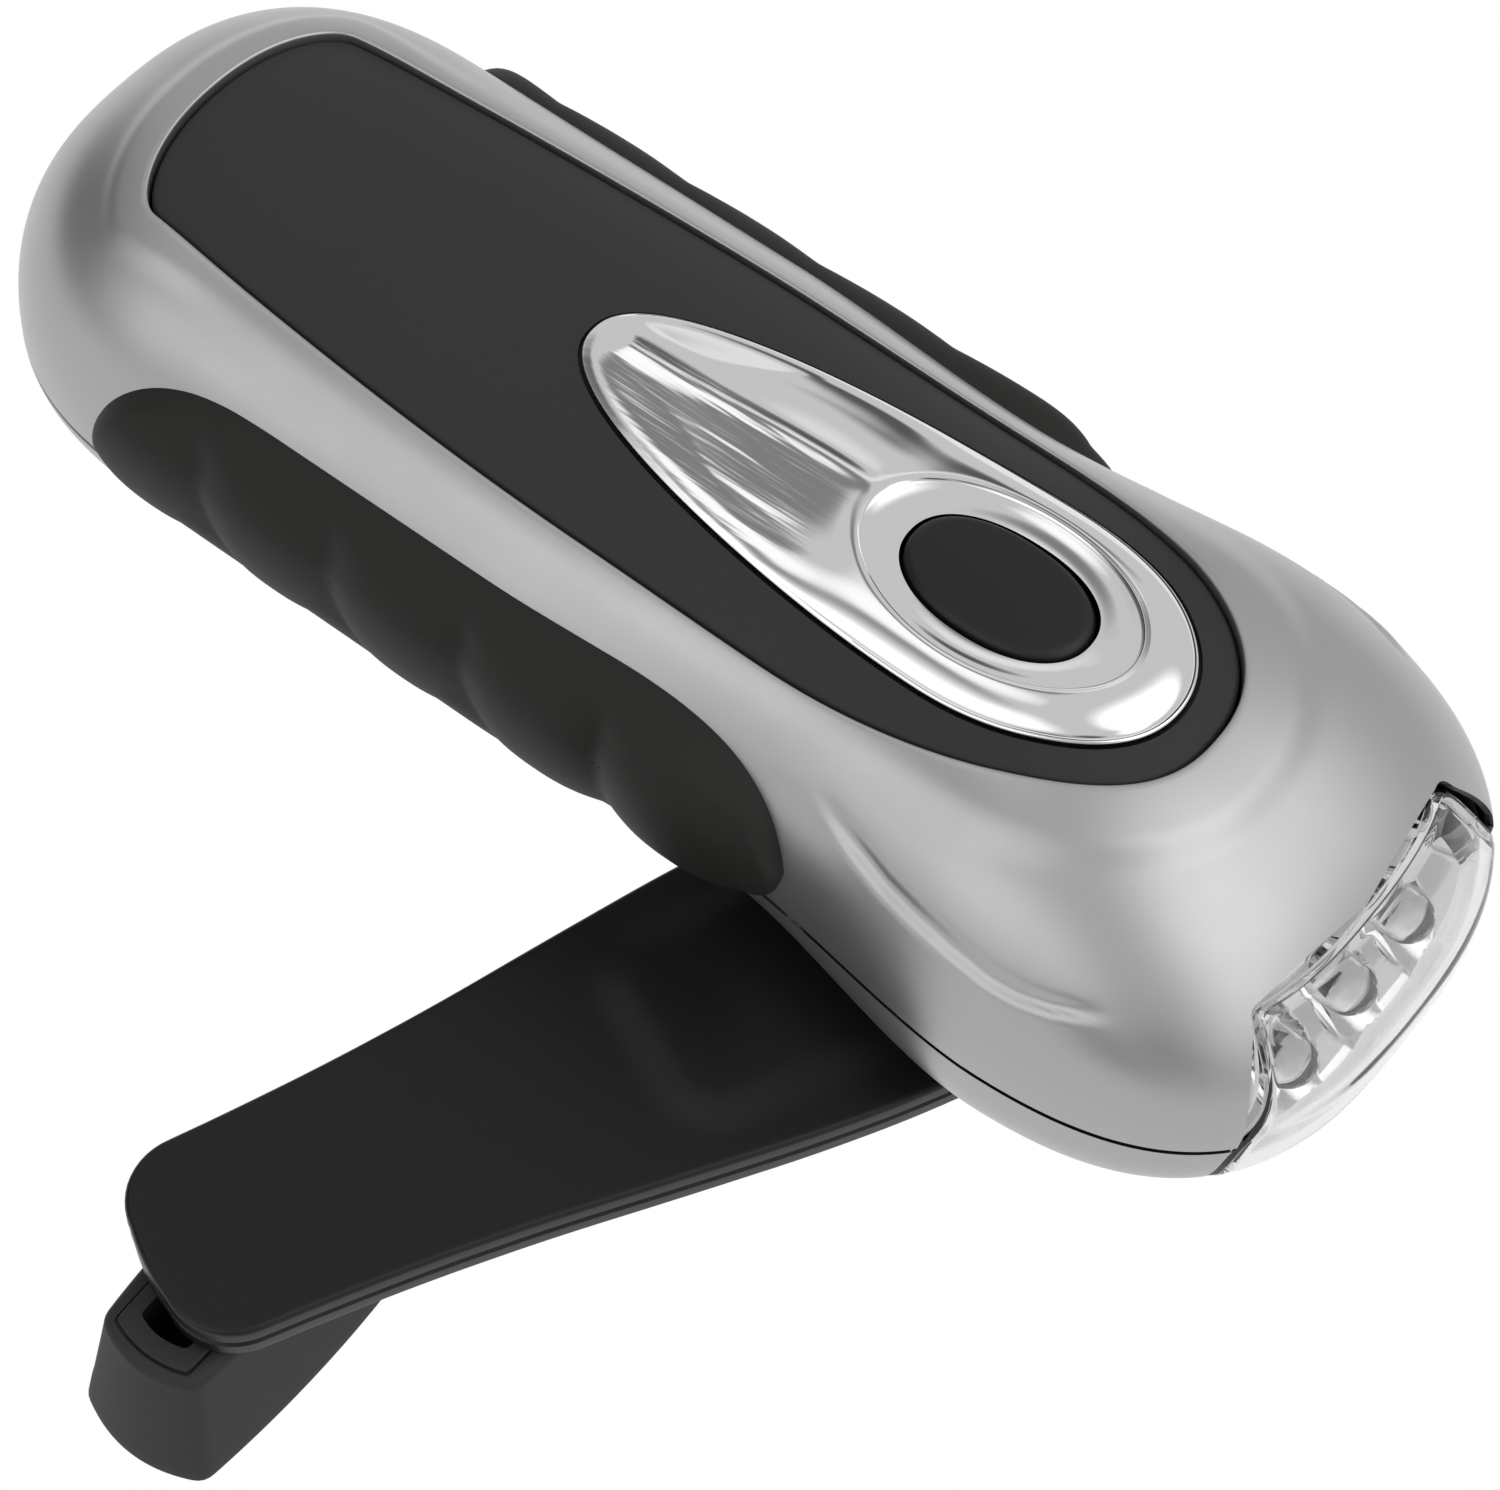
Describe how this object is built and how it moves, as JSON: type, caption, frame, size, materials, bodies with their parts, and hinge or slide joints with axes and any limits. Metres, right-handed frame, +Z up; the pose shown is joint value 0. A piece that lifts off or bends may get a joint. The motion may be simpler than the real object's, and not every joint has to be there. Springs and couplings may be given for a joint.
{
  "type": "hand crank flashlight",
  "caption": "Palm-sized flashlight with a silver moulded housing, rubber grips, a chrome-ringed power button, lamps behind a clear lens, and a swing-out crank with a turning knob.",
  "frame": {"origin": "on the flat belly of the lower shell, under the middle of the housing", "axes": "+X forward to the lens, +Y to the left side seen from behind, +Z up from the belly to the power button"},
  "size_m": [0.1561, 0.1213, 0.0609],
  "materials": {
    "silver_shell": "silver satin paint",
    "panel_black": "soft matte",
    "bezel_chrome": "mirror plated",
    "button_black": "satin",
    "grip_rubber": "matte",
    "lens_clear": "polished clear",
    "lamp_clear": "polished clear",
    "reflector_bright": "vacuum plated",
    "arm_black": "satin",
    "knob_black": "matte",
    "steel": "bright",
    "bush_brass": "turned",
    "gear_nylon": "natural",
    "board_green": "solder mask",
    "coil_copper": "enamelled",
    "magnet_grey": "plain",
    "cell_jacket": "satin"
  },
  "bodies": {
    "housing": {"upper_shell": "silver_shell", "lower_shell": "silver_shell", "top_panel": "panel_black", "chrome_bezel": "bezel_chrome", "grip_left": "grip_rubber", "grip_right": "grip_rubber", "front_lens": "lens_clear", "reflector": "reflector_bright", "lamp_1": "lamp_clear", "lamp_2": "lamp_clear", "lamp_3": "lamp_clear", "lamp_board": "board_green", "housing_screw_1": "steel", "housing_screw_2": "steel", "housing_screw_3": "steel", "housing_screw_4": "steel", "second_pin": "steel", "third_pin": "steel", "gear_plate": "steel", "plate_screw_1": "steel", "plate_screw_2": "steel", "plate_screw_3": "steel", "shaft_bush": "bush_brass", "stator_cup": "steel", "stator_coil": "coil_copper", "stator_lid": "steel", "main_board": "board_green", "board_screw_1": "steel", "board_screw_2": "steel", "tact_switch": "button_black", "capacitor": "steel", "cell_1": "cell_jacket", "cell_2": "cell_jacket", "cell_3": "cell_jacket"},
    "crank": {"crank_arm_upper": "arm_black", "crank_arm_lower": "arm_black", "crank_shaft": "steel", "crank_screw": "steel", "crank_cap": "arm_black", "arm_screw_1": "steel", "arm_screw_2": "steel", "knob_axle": "steel", "crank_gear": "gear_nylon"},
    "knob": {"crank_knob": "knob_black", "knob_cap": "knob_black"},
    "second_wheel": {"second_gear": "gear_nylon"},
    "third_wheel": {"third_gear": "gear_nylon"},
    "rotor": {"rotor_pinion": "steel", "rotor_magnet": "magnet_grey"},
    "button": {"power_button": "button_black"},
    "plunger": {"switch_plunger": "gear_nylon"}
  },
  "joints": [
    {"name": "crank_spin", "type": "hinge", "parent": "housing", "child": "crank", "pos_m": [0.0378, 0, 0], "axis": [0, 0, 1], "continuous": true},
    {"name": "knob_spin", "type": "hinge", "parent": "crank", "child": "knob", "pos_m": [0.00393, -0.07468, -0.0145], "axis": [0, 0, 1], "continuous": true},
    {"name": "second_spin", "type": "hinge", "parent": "housing", "child": "second_wheel", "pos_m": [0.01988, 0, 0], "axis": [0, 0, 1], "continuous": true},
    {"name": "third_spin", "type": "hinge", "parent": "housing", "child": "third_wheel", "pos_m": [0.00484, 0, 0], "axis": [0, 0, 1], "continuous": true},
    {"name": "rotor_spin", "type": "hinge", "parent": "housing", "child": "rotor", "pos_m": [-0.00636, 0, 0], "axis": [0, 0, 1], "continuous": true},
    {"name": "button_press", "type": "slide", "parent": "housing", "child": "button", "axis": [0, 0, -1], "range_m": [0, 0.001], "stiffness_N_per_m": 800},
    {"name": "plunger_press", "type": "slide", "parent": "housing", "child": "plunger", "axis": [0, 0, -1], "range_m": [0, 0.001]}
  ],
  "couplings": [
    {"joint": "second_spin", "follows": "crank_spin", "ratio": -3},
    {"joint": "third_spin", "follows": "crank_spin", "ratio": 9},
    {"joint": "rotor_spin", "follows": "crank_spin", "ratio": -27},
    {"joint": "plunger_press", "follows": "button_press", "ratio": 1}
  ]
}
